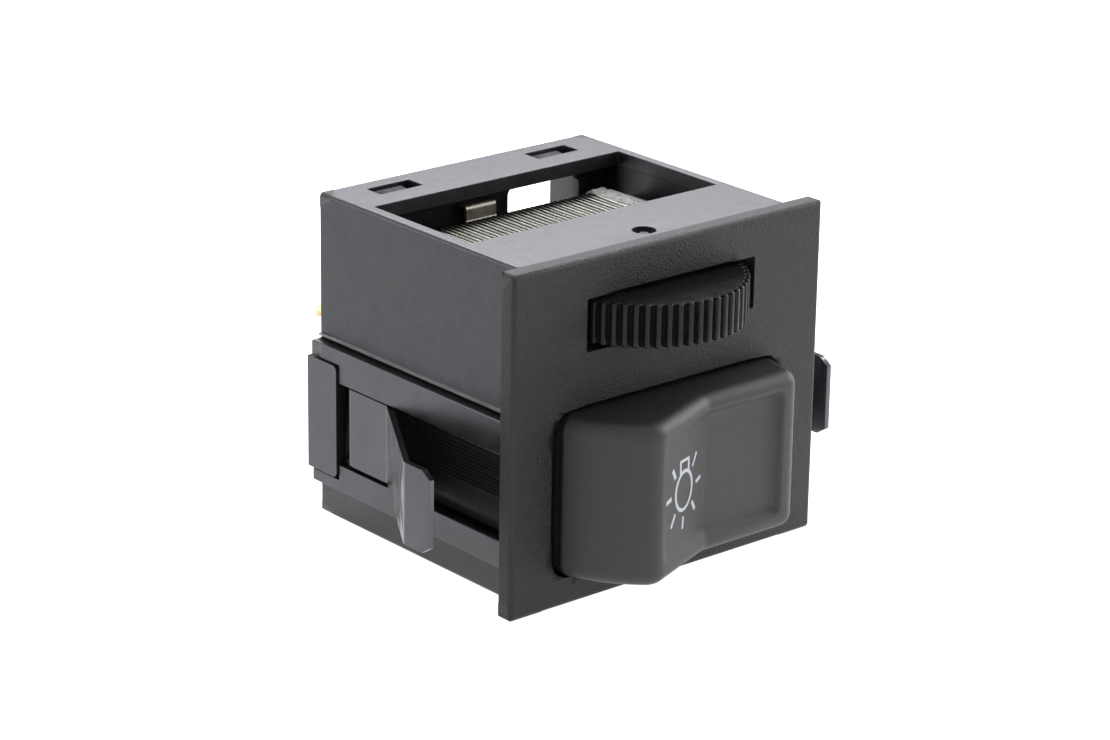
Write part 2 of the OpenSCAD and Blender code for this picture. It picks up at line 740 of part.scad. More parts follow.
module resistor_former() color(ceramic) in_place() {
    collar = 0.35;
    along(-wound_half - 0.5, wound_half + 0.5) polygon([
        for (c = former_corners, a = [0, 45, 90]) [c[0], c[1]] + polar(former_r, c[2] + a)]);
    both_sides() {
        bar(wound_half + 0.4, collar_half, former_y0 - collar, former_y1 + collar, former_z0 - collar,
            former_z1 + collar, 1.8);
        bar(collar_half - eps, tenon_half, former_y0 + 2, former_y1 - 2, former_z0 + 0.02,
            former_z1 - 0.4, 0.6);
    }
}

// Points of one turn round the former, as [y, z] and the outward direction there
turn_points = [for (c = former_corners, a = [0, 45, 90])
    [[c[0], c[1]] + polar(former_r + wire_d / 2 + 0.03, c[2] + a), polar(1, c[2] + a)]];

module resistor_winding() color("#a9a79f") in_place() {
    ring = turn_points;
    n = len(ring);
    steps = turns * n;
    wire(
        [for (i = [0:steps]) [-wound_half + wire_d / 2 + (2 * wound_half - wire_d) * i / steps,
                              ring[i % n][0].x, ring[i % n][0].y]],
        [for (i = [0:steps]) [0, ring[i % n][1].x, ring[i % n][1].y]],
        wire_d / 2
    );
}

// Bright strip behind the former, bent over at the top into the rear cover; its foot rests on the wire
module resistor_feed() color(steel) in_place()
    along(-4.5, 0.6) strip(rounded_path([[39, 41.55], [35.9, 41.55], [35.9, 39.4], [33.28, 38.4],
                                         [33.28, 37.4], [34, 36.6]], 0.5), 0.45);

// Clips

// Leaf in plan on the right: a leg in the slot, the foot in the window, the leaf and its tip
module clip() in_place() {
    x = frame_x - clip_t / 2;
    tip_x = clip_reach - clip_t / 2;
    z0 = 9.4;
    h = 11;
    bevel = [1.5, 1];
    intersection() {
        translate([0, 0, z0]) linear_extrude(h)
            strip(rounded_path([[22, 36.1], [x, 36.1], [x, 27.4], [tip_x, 10.6], [tip_x, 5.6]], 1), clip_t);
        // Bevelled corners of the tip, seen from the side
        along(0, 50) polygon([[5.6 + bevel.x, z0], [40, z0], [40, z0 + h], [5.6 + bevel.x, z0 + h],
                              [5.6, z0 + h - bevel.y], [5.6, z0 + bevel.y]]);
    }
}

module clip_right() color(spring_grey) clip();
module clip_left() color(spring_grey) mirror([1, 0, 0]) clip();

housing();
rear_cover();
rocker();
rocker_axle();
detent_plunger();
detent_spring();
detent_cam();
contact_slide();
bridge_upper();
bridge_lower();
bridge_spring_upper();
bridge_spring_lower();
dimmer_wheel();
wheel_axle();
wiper();
collector();
resistor_former();
resistor_winding();
resistor_feed();
clip_left();
clip_right();
terminal_1();
terminal_2();
terminal_3();
terminal_4();
terminal_5();
terminal_6();
terminal_7();
terminal_8();
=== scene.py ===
import math
import random

import bpy
from mathutils import Matrix, Vector


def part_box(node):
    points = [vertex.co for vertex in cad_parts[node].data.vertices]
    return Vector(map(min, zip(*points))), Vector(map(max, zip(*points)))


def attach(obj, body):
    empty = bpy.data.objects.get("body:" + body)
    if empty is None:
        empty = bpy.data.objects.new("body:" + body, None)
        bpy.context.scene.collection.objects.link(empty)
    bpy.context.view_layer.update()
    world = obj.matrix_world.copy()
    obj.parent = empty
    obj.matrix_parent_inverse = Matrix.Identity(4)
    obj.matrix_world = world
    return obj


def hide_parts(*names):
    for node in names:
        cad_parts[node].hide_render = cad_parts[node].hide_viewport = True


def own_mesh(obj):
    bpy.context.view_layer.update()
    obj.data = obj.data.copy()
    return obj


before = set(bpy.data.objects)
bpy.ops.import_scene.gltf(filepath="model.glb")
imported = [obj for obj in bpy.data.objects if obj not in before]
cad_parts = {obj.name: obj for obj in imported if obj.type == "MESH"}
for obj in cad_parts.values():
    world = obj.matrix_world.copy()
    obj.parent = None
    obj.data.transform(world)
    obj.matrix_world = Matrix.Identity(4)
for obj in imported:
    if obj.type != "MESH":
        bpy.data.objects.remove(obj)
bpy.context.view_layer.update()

MM = 0.001


# Camera. The photograph looks at the front left of the switch, from a little above, through a long
# lens. The place, the direction and the slight roll come from fitting the bezel and the body.
def mm(*values):
    return Vector(values) * MM


eye = mm(-293.19, -339.82, 183.18)
heading, down, roll = (math.radians(angle) for angle in (40.623, 19.744, 0.932))
bpy.ops.object.select_all(action="DESELECT")
bpy.ops.object.camera_add()
camera = bpy.context.object
camera.name = "camera"
camera.data.lens = 117.79
camera.data.sensor_width = 36
camera.data.clip_start, camera.data.clip_end = 0.01, 20
camera.matrix_world = (
    Matrix.Translation(eye)
    @ Matrix.Rotation(-heading, 4, "Z")
    @ Matrix.Rotation(math.pi / 2 - down, 4, "X")
    @ Matrix.Rotation(roll, 4, "Z")
)
bpy.context.scene.camera = camera
bpy.context.scene.view_settings.view_transform = "Standard"


# Floor and light. A white sweep under and behind the switch, a bright soft box high behind it, one on
# the right, and two dim ones behind on the left and far in front. The sweep and the space round it
# show white to the camera; in reflections the sweep grows darker away from the bezel's foot.
def new_material(name, metallic=0.0):
    """A new material, its node tree and its shader."""
    material = bpy.data.materials.new(name)
    material.use_nodes = True
    tree = material.node_tree
    shader = tree.nodes["Principled BSDF"]
    shader.inputs["Metallic"].default_value = metallic
    return material, tree, shader


def larger(tree, one, other):
    either = tree.nodes.new("ShaderNodeMath")
    either.operation = "MAXIMUM"
    tree.links.new(one, either.inputs[0])
    tree.links.new(other, either.inputs[1])
    return either.outputs[0]


def camera_or_mirror(tree):
    """1 for what the camera or a reflection sees, 0 for the light that falls on things."""
    rays = tree.nodes.new("ShaderNodeLightPath")
    return larger(tree, rays.outputs["Is Camera Ray"], rays.outputs["Is Glossy Ray"])


def add_range(tree, value, low, high, from_low=0.3, from_high=0.7):
    """Turns a value between from_low and from_high into one between low and high."""
    spread = tree.nodes.new("ShaderNodeMapRange")
    spread.inputs["From Min"].default_value = from_low
    spread.inputs["From Max"].default_value = from_high
    spread.inputs["To Min"].default_value = low
    spread.inputs["To Max"].default_value = high
    tree.links.new(value, spread.inputs["Value"])
    return spread.outputs["Result"]


sweep_size, below_feet = 6, 0.05
bpy.ops.mesh.primitive_plane_add(size=sweep_size, location=mm(0, 0, -below_feet))
floor = bpy.context.object
floor.name = "floor"
floor_paper, tree, shader = new_material("floor_paper")
shader.inputs["Base Color"].default_value = (0.86, 0.86, 0.86, 1)
shader.inputs["Roughness"].default_value = 0.9
shader.inputs["Specular IOR Level"].default_value = 0.1
bezel_foot, white_within, dim_beyond, dim_level = mm(20, -30, 0), 0.035, 0.1, 0.45
floor_place = tree.nodes.new("ShaderNodeTexCoord")
far = tree.nodes.new("ShaderNodeVectorMath")
far.operation = "DISTANCE"
far.inputs[1].default_value = bezel_foot
tree.links.new(floor_place.outputs["Object"], far.inputs[0])
fading = add_range(tree, far.outputs["Value"], 1.0, dim_level, white_within, dim_beyond)
seen = tree.nodes.new("ShaderNodeLightPath")
glow = tree.nodes.new("ShaderNodeEmission")
tree.links.new(larger(tree, seen.outputs["Is Camera Ray"], fading), glow.inputs["Strength"])
both = tree.nodes.new("ShaderNodeAddShader")
shown = tree.nodes.new("ShaderNodeMixShader")
tree.links.new(shader.outputs[0], both.inputs[0])
tree.links.new(glow.outputs[0], both.inputs[1])
tree.links.new(camera_or_mirror(tree), shown.inputs[0])
tree.links.new(shader.outputs[0], shown.inputs[1])
tree.links.new(both.outputs[0], shown.inputs[2])
tree.links.new(shown.outputs[0], tree.nodes["Material Output"].inputs["Surface"])
floor.data.materials.append(floor_paper)

aim, neutral, cool = mm(0, 0, 20), (1.0, 1.0, 1.0), (0.92, 0.93, 1.0)
for name, place, size, power, colour in (
    ("soft_box_back", (250, 300, 420), 300, 2.6, cool),
    ("soft_box_right", (480, -60, 200), 260, 1.3, neutral),
    ("soft_box_left", (-330, 330, 220), 260, 0.5, neutral),
    ("soft_box_front", (700, -700, 160), 300, 0.5, neutral),
):
    bpy.ops.object.light_add(type="AREA", location=mm(*place))
    lamp = bpy.context.object
    lamp.name = name
    lamp.data.shape = "SQUARE"
    lamp.data.size = size * MM
    lamp.data.energy = power
    lamp.data.color = colour
    lamp.rotation_euler = (aim - lamp.location).to_track_quat("-Z", "Y").to_euler()

fill_level, white_level = 0.4, 1.0
world = bpy.data.worlds.new("studio")
bpy.context.scene.world = world
world.use_nodes = True
tree = world.node_tree
background = tree.nodes["Background"]
background.inputs["Color"].default_value = (1, 1, 1, 1)
tree.links.new(add_range(tree, camera_or_mirror(tree), fill_level, white_level, 0, 1),
               background.inputs["Strength"])


# Housing. One black moulding: the square bezel with its fine grain, the open-topped body behind it
# and a frame on each side for the spring clips. Moulded edges are never sharp, so all are eased.
FRONT = -20.5


def select_only(piece):
    bpy.ops.object.select_all(action="DESELECT")
    piece.select_set(True)
    bpy.context.view_layer.objects.active = piece


def merged_copy(node, name, **planes):
    """A copy of a CAD node with its triangles joined into flat faces.

    The planes, millimetres along x, y behind the bezel or z, cut the faces that have holes in them.
    """
    piece = bpy.data.objects.new(name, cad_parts[node].data.copy())
    bpy.context.scene.collection.objects.link(piece)
    piece.data.materials.clear()
    select_only(piece)
    bpy.ops.object.mode_set(mode="EDIT")
    bpy.ops.mesh.select_all(action="SELECT")
    bpy.ops.mesh.remove_doubles(threshold=2e-6)
    bpy.ops.mesh.dissolve_limited(angle_limit=math.radians(0.6))
    for axis, values in planes.items():
        normal = Vector([letter == axis for letter in "xyz"])
        for value in values:
            place = mm(*normal) * (value + (FRONT if axis == "y" else 0))
            bpy.ops.mesh.select_all(action="SELECT")
            bpy.ops.mesh.bisect(plane_co=place, plane_no=normal, threshold=1e-6)
            bpy.ops.mesh.mark_seam()
    bpy.ops.mesh.select_all(action="SELECT")
    bpy.ops.mesh.dissolve_limited(angle_limit=math.radians(0.6), delimit={"SEAM"})
    bpy.ops.object.mode_set(mode="OBJECT")
    return piece


def apply_modifiers(piece):
    select_only(piece)
    for modifier in list(piece.modifiers):
        bpy.ops.object.modifier_apply(modifier=modifier.name)


def apply_and_smooth(piece, smooth_angle=50):
    """Applies the modifiers and smooths the shading, with the large flat faces kept flat."""
    apply_modifiers(piece)
    bpy.ops.object.shade_smooth_by_angle(angle=math.radians(smooth_angle))
    flat = piece.modifiers.new("flat_faces", "WEIGHTED_NORMAL")
    flat.keep_sharp = True
    bpy.ops.object.modifier_apply(modifier=flat.name)


def ease_edges(piece, width, share=lambda place: 1.0):
    """Rounds the edges sharper than 35 degrees, where there is room for twice the width.

    share(place) gives the part of the width for an edge with its middle at that place, or 0.
    """
    sharp, room_needed = math.cos(math.radians(35)), 2.2
    mesh = piece.data
    normals = {}
    for face in mesh.polygons:
        for edge in face.edge_keys:
            normals.setdefault(edge, []).append(face.normal)
    ends = [[mesh.vertices[v].co for v in edge.vertices] for edge in mesh.edges]
    room = [math.inf] * len(mesh.vertices)
    for edge, (a, b) in zip(mesh.edges, ends):
        for vertex in edge.vertices:
            room[vertex] = min(room[vertex], (a - b).length / MM)
    weight = mesh.attributes.new("bevel_weight_edge", "FLOAT", "EDGE")
    for edge, (a, b) in zip(mesh.edges, ends):
        sides = normals.get(edge.key, [])
        part = share((a + b) / (2 * MM))
        eased = (
            len(sides) == 2 and sides[0].dot(sides[1]) < sharp
            and min(room[vertex] for vertex in edge.vertices) > room_needed * width * part
        )
        weight.data[edge.index].value = part if eased else 0.0
    rounding = piece.modifiers.new("rounding", "BEVEL")
    rounding.limit_method = "WEIGHT"
    rounding.width = width * MM
    rounding.segments = 2
    rounding.use_clamp_overlap = False
    rounding.miter_outer = "MITER_ARC"
    apply_and_smooth(piece)


def add_noise(tree, size, detail, stretch=(1, 1, 1)):
    """Noise whose spots are about size millimetres across; stretch lengthens them along an axis."""
    place = tree.nodes.new("ShaderNodeTexCoord")
    scale = tree.nodes.new("ShaderNodeMapping")
    scale.inputs["Scale"].default_value = [1 / s for s in stretch]
    noise = tree.nodes.new("ShaderNodeTexNoise")
    noise.inputs["Scale"].default_value = 1 / (size * MM)
    noise.inputs["Detail"].default_value = detail
    tree.links.new(place.outputs["Object"], scale.inputs["Vector"])
    tree.links.new(scale.outputs["Vector"], noise.inputs["Vector"])
    return noise.outputs["Fac"]


def add_tint(tree, value, dark, light):
    tint = tree.nodes.new("ShaderNodeMix")
    tint.data_type = "RGBA"
    tint.inputs["A"].default_value = (*dark, 1)
    tint.inputs["B"].default_value = (*light, 1)
    tree.links.new(value, tint.inputs["Factor"])
    return tint.outputs["Result"]


def add_bump(tree, shader, height, depth, after=None):
    """A relief of the given depth in millimetres, on top of an earlier one if there is one."""
    bump = tree.nodes.new("ShaderNodeBump")
    bump.inputs["Strength"].default_value = 1.0
    bump.inputs["Distance"].default_value = depth * MM
    tree.links.new(height, bump.inputs["Height"])
    if after:
        tree.links.new(after.outputs["Normal"], bump.inputs["Normal"])
    tree.links.new(bump.outputs["Normal"], shader.inputs["Normal"])
    return bump


def coat(tree, shader, tint, roughness, relief):
    """Gives a shader its colour and its roughness, each as (noise, value at low, value at high).

    The relief follows the noise of the roughness.
    """
    tree.links.new(add_tint(tree, *tint), shader.inputs["Base Color"])
    tree.links.new(add_range(tree, *roughness), shader.inputs["Roughness"])
    add_bump(tree, shader, roughness[0], relief)


def satin_black(name, gleam, smooth=0.34, rough=0.42):
    """Black plastic straight from the tool, faintly clouded and pitted, with a bluish gleam."""
    material, tree, shader = new_material(name)
    cloud = add_noise(tree, 2.5, 7)
    pits = add_noise(tree, 0.22, 3)
    dust = add_range(tree, pits, 0, 1, 0.36, 0.66)
    tree.links.new(add_tint(tree, dust, (0.004, 0.004, 0.005), (0.016, 0.016, 0.018)),
                   shader.inputs["Base Color"])
    tree.links.new(add_range(tree, cloud, smooth, rough, 0.38, 0.62), shader.inputs["Roughness"])
    shader.inputs["Specular IOR Level"].default_value = gleam
    shader.inputs["Specular Tint"].default_value = (0.93, 0.94, 1.0, 1)
    add_bump(tree, shader, pits, 0.03)
    return material


def lay_finishes(piece, finishes, choose):
    """Gives each face of a piece the finish that choose(face) returns."""
    for finish in finishes:
        piece.data.materials.append(finish)
    for face in piece.data.polygons:
        face.material_index = finishes.index(choose(face))


# Regions of the housing: millimetres out from the middle, behind the bezel's front and up
ANYWHERE = (-1, 99)
BEZEL = (ANYWHERE, (-1, 2.35), ANYWHERE)
BEZEL_FACE = (ANYWHERE, (-1, 0.5), ANYWHERE)
RIBBED_CHEEK = ((21, 24.1), (2.3, 38.2), (9.5, 20.55))
CLIP_SLOT = ((21, 99), (35.5, 36.7), (9.3, 20.5))
SIDE_FRAME = ((24.05, 99), ANYWHERE, ANYWHERE)
FRAME_WINDOW = ((24.1, 24.2), (2.3, 34), ANYWHERE)
# the lip on top of each frame, which is painted light grey as a painted highlight
LIP_PAINTED_HIGHLIGHT = ((22.75, 23.2), ANYWHERE, (25.72, 26))


def within(place, region):
    values = abs(place.x), place.y - FRONT, place.z
    return all(low < value < high for value, (low, high) in zip(values, region))


def housing_share(place):
    """Nothing on the ribbed cheeks and the clips' slots, more on the frames' windows and the bezel."""
    if within(place, RIBBED_CHEEK) or within(place, CLIP_SLOT):
        return 0.0
    return 1.0 if within(place, FRAME_WINDOW) or within(place, BEZEL_FACE) else 0.5


pin_behind = 5.65
housing = merged_copy(
    "housing", "housing_moulding",
    x=(9.9, 16.9, -9.9, -16.9, 19.35, -19.35, 14.15, -14.15, 16.35, -16.35, 20.4, -20.4, 0),
    y=(2.4, 14.8, 34.3, 38.1, 41.1, 37.5, 4.1, 7.2, pin_behind),
    z=(3.75, 26.25, 33.3, 40.3, 6.75, 23.25, 9.2, 20.6, 2.1, 28, 29.5, 43.1, 25.65),
)
frame_top, lip_edge, undercut_to = 25.2, 23.05, 22.4
for vertex in housing.data.vertices:
    across, height = abs(vertex.co.x) / MM, vertex.co.z / MM
    if abs(across - lip_edge) < 0.02 and abs(height - frame_top) < 0.02:
        vertex.co.x = math.copysign(undercut_to, vertex.co.x) * MM
ease_edges(housing, width=0.24, share=housing_share)

bezel_black, tree, shader = new_material("bezel_black")
grain = add_noise(tree, 0.2, 3)
peaks = add_range(tree, grain, 0, 1, 0.36, 0.68)
coat(tree, shader, tint=(peaks, (0.002, 0.002, 0.002), (0.022, 0.022, 0.022)),
     roughness=(grain, 0.42, 0.6), relief=0.18)
body_black = satin_black("body_black", gleam=0.64)
cheek_black = satin_black("cheek_black", gleam=0.1, smooth=0.4, rough=0.5)
frame_black = satin_black("frame_black", gleam=1.0)
# The lip along the top of each frame is painted light grey: a painted highlight along the lip's edge,
# streaked along its length.
lip_painted_highlight, tree, shader = new_material("lip_painted_highlight")
lip_highlight_streaks = add_noise(tree, 0.5, 3, (1, 6, 1))
coat(tree, shader, tint=(lip_highlight_streaks, (0.2, 0.2, 0.21), (0.42, 0.42, 0.44)),
     roughness=(lip_highlight_streaks, 0.35, 0.5), relief=0.01)


def housing_finish(face):
    place = face.center / MM
    in_pin_hole = math.hypot(place.x, place.y - FRONT - pin_behind) < 1.7 and place.z > 38
    if within(place, BEZEL):
        return bezel_black
    if within(place, RIBBED_CHEEK) or in_pin_hole:
        return cheek_black
    if within(place, SIDE_FRAME):
        return frame_black
    # the lip gets the painted highlight
    return lip_painted_highlight if within(place, LIP_PAINTED_HIGHLIGHT) else body_black


lay_finishes(housing, [bezel_black, body_black, cheek_black, frame_black, lip_painted_highlight], housing_finish)
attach(housing, "case")
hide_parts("housing")


# Rear cover. The moulded terminal carrier closes the back; its arms hook round the body's sides and
# its tongues show in the two slots of the deck. It is black like the body, a little glossier at the
# back and duller on the tongues.
blade_columns, blade_edge = (-15.6, -5.2, 5.2, 15.6), 3.17
cover = merged_copy(
    "rear_cover", "rear_cover_moulding",
    x=[4.1, 16.6, 5.3, 15.4, 2.9, 17.8, 19.6, -19.6, 0.7, -4.6, -17, 17]
      + [column + edge for column in blade_columns for edge in (-blade_edge, blade_edge)],
    y=(37.5, 39.3),
    z=(31.5, 42.2, 32.7, 41.0, 30.3, 25.68, 26.52, 13.28, 14.12, 3.7, 41.5),
)
arm_side, tongue_foot = 22.6, 41.3
ease_edges(cover, width=0.1, share=lambda place: 0.0 if abs(place.x) > arm_side else 1.0)
cover_black = satin_black("cover_black", gleam=0.7)
tongue_black = satin_black("tongue_black", gleam=0.4, smooth=0.6, rough=0.75)


def cover_finish(face):
    if abs(face.center.x) > arm_side * MM:
        return frame_black
    return tongue_black if face.center.z > tongue_foot * MM else cover_black


lay_finishes(cover, [cover_black, frame_black, tongue_black], cover_finish)
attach(cover, "case")
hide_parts("rear_cover")


# Spring clips. Grey spring steel strip, sheared on both sides and bent: a foot in the side frame, a
# long leaf and a short tip. The leaf has faint waves from the bending and the inner side is dull. The
# faces turned straight up and down, the sheared edges, are painted nearly black as painted shade.
def strip_steel(name, dent, smooth=0.16, rough=0.26):
    material, tree, shader = new_material(name, metallic=1.0)
    cloud = add_noise(tree, 2.5, 4, (1, 2, 3))
    scratches = add_noise(tree, 0.12, 2, (1, 25, 12))
    tree.links.new(add_tint(tree, cloud, (0.076, 0.079, 0.086), (0.12, 0.122, 0.129)),
                   shader.inputs["Base Color"])
    tree.links.new(add_range(tree, scratches, smooth, rough), shader.inputs["Roughness"])
    waves = add_bump(tree, shader, add_noise(tree, 4.5, 1, (1, 1, 1.6)), dent)
    add_bump(tree, shader, scratches, 0.0006, after=waves)
    return material


clip_steel = strip_steel("clip_steel", dent=0.02)
bent_steel = strip_steel("bent_steel", dent=0.5)
inner_steel = strip_steel("inner_steel", dent=0.02, smooth=0.5, rough=0.65)
# The clip's faces turned straight up and down are painted nearly black: painted shade on its edges.
edge_painted_shade, tree, shader = new_material("edge_painted_shade", metallic=1.0)
edge_shade_mottle = add_noise(tree, 0.1, 2, (1, 1, 6))
coat(tree, shader, tint=(edge_shade_mottle, (0.004, 0.004, 0.005), (0.014, 0.014, 0.016)),
     roughness=(edge_shade_mottle, 0.45, 0.65), relief=0.01)
leaf_start, leaf_end = 11, 27.8


def clip_finish(face):
    outward = face.normal.x * math.copysign(1, face.center.x)
    # faces turned straight up or down get the painted shade
    if abs(face.normal.z) > 0.9:
        return edge_painted_shade
    if outward < -0.3:
        return inner_steel
    on_leaf = leaf_start < face.center.y / MM - FRONT < leaf_end
    return bent_steel if on_leaf and outward < 0.995 else clip_steel


foot_behind, foot_middle, bottom_raised, top_raised = 26, 10, 0.45, 0.12
for side in ("left", "right"):
    clip = merged_copy("clip_" + side, "spring_clip_" + side)
    for vertex in clip.data.vertices:
        if vertex.co.y / MM - FRONT > foot_behind:
            raised = bottom_raised if vertex.co.z < foot_middle * MM else top_raised
            vertex.co.z += raised * MM
    ease_edges(clip, width=0.1)
    lay_finishes(clip, [clip_steel, bent_steel, edge_painted_shade, inner_steel], clip_finish)
    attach(clip, "case")
    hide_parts("clip_" + side)


# Rocker. A smooth matt black moulding with a raised crest on the left, a slope, and a dished finger
# pad on the right. The skin is a grid wrapped round the plan of the rocker, then given its wall.
PIVOT = 5.15
LOW, HIGH = 4.2, 25.8
crest_reach, pad_reach = 10.4, 6.1
rocker_radius, corner_radius, crest_radius, edge_radius = 19.25, 2.1, 2.8, 1.9


def arc(centre, radius, start, end, count):
    """Points along an arc, in count steps from one angle in degrees to another."""
    turns = [math.radians(start + (end - start) * i / count) for i in range(count + 1)]
    return [(centre[0] + radius * math.cos(turn), centre[1] + radius * math.sin(turn))
            for turn in turns]


def even_steps(points, step):
    """The same line with points at even steps."""
    lengths = [0.0]
    for a, b in zip(points, points[1:]):
        lengths.append(lengths[-1] + math.dist(a, b))
    count = round(lengths[-1] / step)
    line, k = [], 0
    for i in range(count + 1):
        at = lengths[-1] * i / count
        while k < len(points) - 2 and lengths[k + 1] < at:
            k += 1
        share = (at - lengths[k]) / max(lengths[k + 1] - lengths[k], 1e-9)
        line.append(tuple(a + (b - a) * share for a, b in zip(points[k], points[k + 1])))
    return line


# The plan, seen from above: the left end, the crest, the slope, the pad and the right end
swing = rocker_radius - corner_radius
crest_swing = rocker_radius - crest_radius
crest = (-math.sqrt(crest_swing**2 - (PIVOT + crest_reach - crest_radius) ** 2),
         crest_radius - crest_reach)
pad_end = (15.3, corner_radius - pad_reach)
valley, valley_bend = Vector((1.4, -pad_reach)), 1.6
fall = valley - Vector(crest)
slope = math.degrees(math.atan2(fall.y, fall.x) + math.asin(crest_radius / fall.length))
left_wall_end, right_wall_end = 5.0, 10.5
left_start = 180 - math.degrees(math.asin((left_wall_end - PIVOT) / rocker_radius))
left_end = 180 - math.degrees(math.asin((crest[1] - PIVOT) / crest_swing))
to_pad_end = Vector((pad_end[0], pad_end[1] - PIVOT))
right_start = math.degrees(math.atan2(to_pad_end.y, to_pad_end.x)
                           + math.acos(swing / to_pad_end.length))
right_end = math.degrees(math.asin((right_wall_end - PIVOT) / rocker_radius))
plan = even_steps(
    arc((0, PIVOT), rocker_radius, left_start, left_end, 40)
    + arc(crest, crest_radius, left_end - 0.5, 270 + slope, 16)
    + arc((valley.x + valley_bend * math.tan(math.radians(slope / 2)), valley.y - valley_bend),
          valley_bend, 90 + slope, 90, 6)
    + arc(pad_end, corner_radius, 270, 360 + right_start, 16)
    + arc((0, PIVOT), rocker_radius, right_start, right_end, 40),
    step=0.3,
)


def ramp(value, start, end):
    """A smooth rise from 0 to 1 as a value goes from start to end."""
    share = min(max((value - start) / (end - start), 0.0), 1.0)
    return share * share * (3 - 2 * share)


def dish_depth(x, z):
    """How far the finger pad and the slope are sunk at a place on the rocker's face."""
    if not -12 < x < 15:
        return 0.0
    depth = 0.55 * ramp(x, -10.2, -8.4) + 0.25 * ramp(x, -6, 1)
    half_width = 8.1 + 0.2 * ramp(x, 14, 2) - 0.9 * ramp(x, 1.4, -9.6)
    rim = 1.6 + 1.4 * ramp(x, 2, -5)
    across = ramp(abs(z - dish_middle), half_width + rim / 2, half_width - rim / 2)
    return depth * across * ramp(x, 14.5, 13.6)


middle, dish_middle, drawn_in = (LOW + HIGH) / 2, 15.2, 0.5
half_height = (HIGH - LOW) / 2
columns = len(plan) - 1
wall_rows, round_rows, flat_rows = 66, 8, 6
rows = wall_rows + 2 * round_rows + 2 * flat_rows
inset = []
for column, here in enumerate(plan):
    before, after = Vector(plan[max(column - 1, 0)]), Vector(plan[min(column + 1, columns)])
    along = (after - before).normalized()
    inset.append(Vector(here) + Vector((-along.y, along.x)) * edge_radius)
bpy.ops.object.select_all(action="DESELECT")
bpy.ops.mesh.primitive_grid_add(x_subdivisions=columns, y_subdivisions=rows, size=2)
rocker = bpy.context.object
rocker.name = "rocker_moulding"
for vertex in rocker.data.vertices:
    column = round((vertex.co.x + 1) / 2 * columns)
    row = round((vertex.co.y + 1) / 2 * rows)
    from_end = min(row, rows - row)
    sign = -1 if row < rows / 2 else 1
    if from_end < flat_rows:
        back = inset[0].lerp(inset[-1], column / columns)
        point = back.lerp(inset[column], from_end / flat_rows)
        height = sign * half_height
    elif from_end <= flat_rows + round_rows:
        turn = (from_end - flat_rows) / round_rows * math.pi / 2
        point = inset[column].lerp(Vector(plan[column]), math.sin(turn))
        height = sign * (half_height - edge_radius * (1 - math.cos(turn)))
    else:
        point = Vector(plan[column])
        height = (2 * (row - flat_rows - round_rows) / wall_rows - 1) * (half_height - edge_radius)
    sunk = dish_depth(point.x, middle + height) if point.y < 0 else 0.0
    tucked = drawn_in * ramp(point.y, -0.7, 0.3) * ramp(point.x, -12, -17)
    vertex.co = mm(point.x + tucked, point.y + sunk + FRONT, middle + height)
select_only(rocker)
bpy.ops.object.mode_set(mode="EDIT")
bpy.ops.mesh.select_all(action="SELECT")
bpy.ops.mesh.remove_doubles(threshold=1e-6)
bpy.ops.mesh.normals_make_consistent(inside=False)
bpy.ops.object.mode_set(mode="OBJECT")
wall = rocker.modifiers.new("wall", "SOLIDIFY")
wall.thickness = 1.6 * MM
wall.offset = -1
apply_modifiers(rocker)


def add_cylinder(radius, start, end, sides=64):
    """A cylinder between two places in millimetres, y counted behind the bezel."""
    start, end = mm(start[0], start[1] + FRONT, start[2]), mm(end[0], end[1] + FRONT, end[2])
    bpy.ops.mesh.primitive_cylinder_add(
        vertices=sides, radius=radius * MM, depth=(end - start).length, location=(start + end) / 2,
        rotation=(end - start).to_track_quat("Z", "Y").to_euler())
    return bpy.context.object


def add_block(x0, x1, y0, y1, z0, z1):
    bpy.ops.mesh.primitive_cube_add(
        size=1, location=mm((x0 + x1) / 2, (y0 + y1) / 2 + FRONT, (z0 + z1) / 2),
        scale=mm(x1 - x0, y1 - y0, z1 - z0))
    return bpy.context.object


def combine(piece, other, operation):
    """Adds another solid to a piece or cuts it away."""
    joint = piece.modifiers.new("joint", "BOOLEAN")
    joint.operation = operation
    joint.solver = "EXACT"
    joint.object = other
    apply_modifiers(piece)
    bpy.data.objects.remove(other)


# The hub, the web behind the face, the finger that drives the contacts, the detent's barrel with its
# bore, and the hole for the pin
finger_end, finger_low, finger_high = PIVOT + 18, 6.5, 13.5
barrel_z, barrel_end, bore_floor, past_barrel = 20, PIVOT + 14.8, 9.4, 22
inner = add_cylinder(3.2, (0, PIVOT, LOW + 0.3), (0, PIVOT, HIGH - 0.3))
web = add_block(-0.8, 0.8, -5, PIVOT, LOW + 1, HIGH - 1)
finger = add_block(-0.95, 0.95, PIVOT, finger_end, finger_low, finger_high)
fingertip = add_cylinder(1.5, (0, finger_end, finger_low), (0, finger_end, finger_high), 48)
barrel = add_cylinder(3, (0, PIVOT, barrel_z), (0, barrel_end, barrel_z))
for solid in (web, finger, fingertip, barrel):
    combine(inner, solid, "UNION")
bore = add_cylinder(2.05, (0, bore_floor, barrel_z), (0, past_barrel, barrel_z))
pin_hole = add_cylinder(1.3, (0, PIVOT, 0), (0, PIVOT, 30), 48)
for solid in (bore, pin_hole):
    combine(inner, solid, "DIFFERENCE")
select_only(rocker)
inner.select_set(True)
bpy.ops.object.join()
apply_and_smooth(rocker, smooth_angle=60)
rocker_black, tree, shader = new_material("rocker_black")
shader.inputs["Specular IOR Level"].default_value = 0.65
matt = add_noise(tree, 0.15, 3)
dust = add_range(tree, matt, 0, 1, 0.36, 0.66)
coat(tree, shader, tint=(dust, (0.002, 0.002, 0.0025), (0.019, 0.019, 0.0195)),
     roughness=(matt, 0.42, 0.54), relief=0.07)
rocker.data.materials.append(rocker_black)
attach(rocker, "rocker")
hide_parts("rocker")


